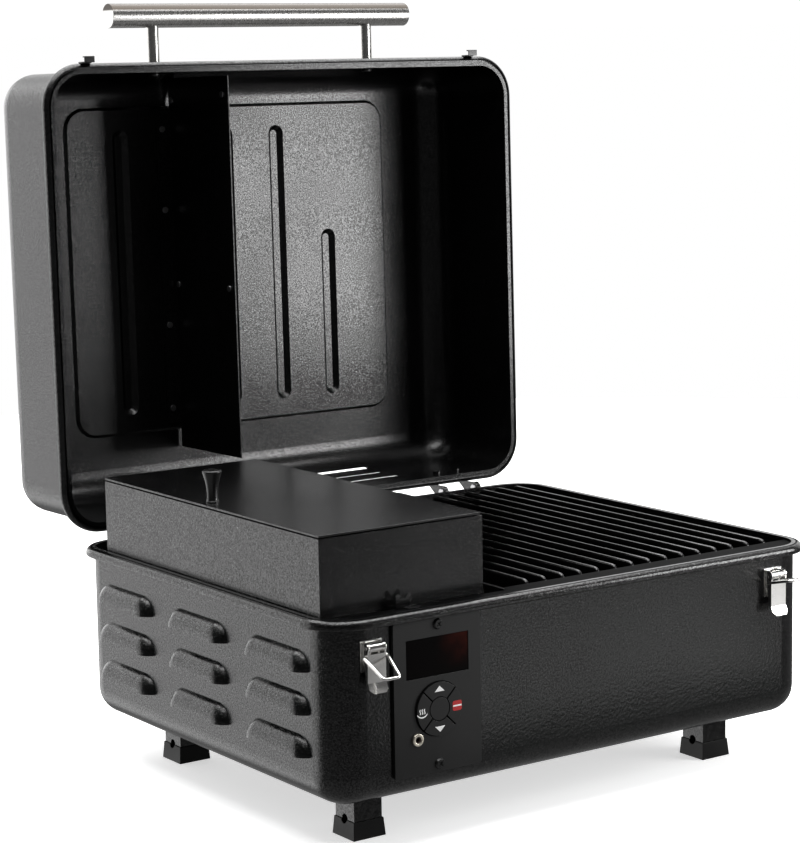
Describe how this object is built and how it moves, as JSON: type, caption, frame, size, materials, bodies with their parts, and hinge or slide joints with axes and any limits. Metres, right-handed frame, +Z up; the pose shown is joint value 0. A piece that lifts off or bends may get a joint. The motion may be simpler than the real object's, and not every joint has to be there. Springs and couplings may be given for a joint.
{
  "type": "pellet smoker grill",
  "caption": "Black tabletop wood pellet grill with an open deep lid, latches, a pellet hopper, a cooking grate, a control panel and feet.",
  "frame": {"origin": "on the floor, at the centre of the four feet", "axes": "+X to the right as the user stands at the control panel, +Y to the back, +Z up"},
  "size_m": [0.534, 0.6068, 0.6965],
  "materials": {
    "coat_black": "black powder coat with a fine hammered grain",
    "coat_hopper": "smooth black powder coat with a fine sparkle",
    "coat_inside": "satin black heat-resistant coat",
    "enamel_black": "satin black enamel",
    "steel_plain": "plain sheet steel, lightly brushed",
    "motor_metal": "cast and drawn metal, satin",
    "fan_plastic": "matte black moulded plastic",
    "fastener_steel": "zinc-plated steel",
    "handle_steel": "stainless steel, brushed round the bar",
    "latch_nickel": "bright nickel plate",
    "black_steel": "black coated steel, satin",
    "grate_iron": "glossy black porcelain over cast iron",
    "knob_plastic": "satin black phenolic",
    "panel_face": "matte black overlay with white line icons",
    "display_red": "glossy dark red-brown window",
    "board_green": "green circuit board with dark parts",
    "socket_metal": "bright turned metal",
    "button_plastic": "satin black plastic with pale icons",
    "inlet_plastic": "matte black moulded plastic",
    "foot_rubber": "matte black rubber"
  },
  "bodies": {
    "base": {"tub": "coat_black", "front_ledge": "coat_inside", "partition_wall": "coat_inside", "support_rails": "coat_inside", "drip_tray": "enamel_black", "heat_baffle": "steel_plain", "fire_pot": "steel_plain", "fire_box": "steel_plain", "igniter_rod": "steel_plain", "air_duct": "steel_plain", "fan_frame": "fan_plastic", "auger_tube": "steel_plain", "auger_gearbox": "motor_metal", "auger_motor": "motor_metal", "hopper_box": "coat_hopper", "hopper_funnel": "coat_inside", "hopper_bumpers": "foot_rubber", "hopper_hinge_leaves": "coat_hopper", "hopper_hinge_pins": "fastener_steel", "control_panel": "panel_face", "display_lens": "display_red", "controller_board": "board_green", "probe_socket": "socket_metal", "panel_screws": "black_steel", "temperature_sensor": "steel_plain", "power_inlet": "inlet_plastic", "probe_clip": "coat_black", "foot_tubes": "coat_black", "foot_caps": "foot_rubber", "foot_bolts": "fastener_steel", "latch_bases": "latch_nickel", "latch_pins": "latch_nickel", "tub_hinge_brackets": "coat_black", "tub_hinge_screws": "coat_black"},
    "lid": {"lid_shell": "coat_black", "lid_divider": "coat_inside", "divider_rivets": "fastener_steel", "handle_bar": "handle_steel", "handle_posts": "handle_steel", "handle_screws": "black_steel", "lid_catches": "black_steel", "lid_hinge_brackets": "coat_black", "hinge_pins": "fastener_steel", "hinge_bolts": "coat_black"},
    "hopper_cover": {"hopper_lid": "coat_hopper", "hopper_knob": "knob_plastic", "hopper_lid_leaves": "coat_hopper"},
    "lever_left": {"latch_lever_left": "latch_nickel"},
    "lever_right": {"latch_lever_right": "latch_nickel"},
    "bail_left": {"latch_bail_left": "latch_nickel"},
    "bail_right": {"latch_bail_right": "latch_nickel"},
    "key_up": {"button_up": "button_plastic"},
    "key_down": {"button_down": "button_plastic"},
    "key_left": {"button_left": "button_plastic"},
    "key_right": {"button_right": "button_plastic"},
    "key_centre": {"button_centre": "button_plastic"},
    "fan_rotor": {"fan_impeller": "fan_plastic"},
    "feed_screw": {"auger_screw": "steel_plain"},
    "grill_grate": {"grate": "grate_iron"}
  },
  "joints": [
    {"name": "lid_hinge", "type": "hinge", "parent": "base", "child": "lid", "pos_m": [0, 0.225, 0.1985], "axis": [-1, 0, 0], "range_deg": [-91, 0]},
    {"name": "hopper_lid_hinge", "type": "hinge", "parent": "base", "child": "hopper_cover", "pos_m": [-0.0893, 0, 0.264], "axis": [0, 1, 0], "range_deg": [0, 95]},
    {"name": "lever_left_turn", "type": "hinge", "parent": "base", "child": "lever_left", "pos_m": [-0.222, -0.216, 0.178], "axis": [1, 0, 0], "range_deg": [-80, 0]},
    {"name": "lever_right_turn", "type": "hinge", "parent": "base", "child": "lever_right", "pos_m": [0.214, -0.216, 0.178], "axis": [1, 0, 0], "range_deg": [-80, 0]},
    {"name": "bail_left_swing", "type": "hinge", "parent": "lever_left", "child": "bail_left", "pos_m": [-0.222, -0.2162, 0.1715], "axis": [-1, 0, 0], "range_deg": [-38, 110]},
    {"name": "bail_right_swing", "type": "hinge", "parent": "lever_right", "child": "bail_right", "pos_m": [0.214, -0.2162, 0.1715], "axis": [-1, 0, 0], "range_deg": [-81, 67]},
    {"name": "key_up_press", "type": "slide", "parent": "base", "child": "key_up", "axis": [0, 1, 0], "range_m": [0, 0.001], "stiffness_N_per_m": 900, "springref_m": -0.0005},
    {"name": "key_down_press", "type": "slide", "parent": "base", "child": "key_down", "axis": [0, 1, 0], "range_m": [0, 0.001], "stiffness_N_per_m": 900, "springref_m": -0.0005},
    {"name": "key_left_press", "type": "slide", "parent": "base", "child": "key_left", "axis": [0, 1, 0], "range_m": [0, 0.001], "stiffness_N_per_m": 900, "springref_m": -0.0005},
    {"name": "key_right_press", "type": "slide", "parent": "base", "child": "key_right", "axis": [0, 1, 0], "range_m": [0, 0.001], "stiffness_N_per_m": 900, "springref_m": -0.0005},
    {"name": "key_centre_press", "type": "slide", "parent": "base", "child": "key_centre", "axis": [0, 1, 0], "range_m": [0, 0.001], "stiffness_N_per_m": 900, "springref_m": -0.0005},
    {"name": "fan_spin", "type": "hinge", "parent": "base", "child": "fan_rotor", "pos_m": [-0.12, 0.054, 0.0755], "axis": [1, 0, 0], "continuous": true},
    {"name": "feed_screw_turn", "type": "hinge", "parent": "base", "child": "feed_screw", "pos_m": [0, 0, 0.082], "axis": [1, 0, 0], "continuous": true},
    {"name": "grate_lift", "type": "slide", "parent": "base", "child": "grill_grate", "axis": [0, 0, 1], "range_m": [0, 0.15]}
  ]
}
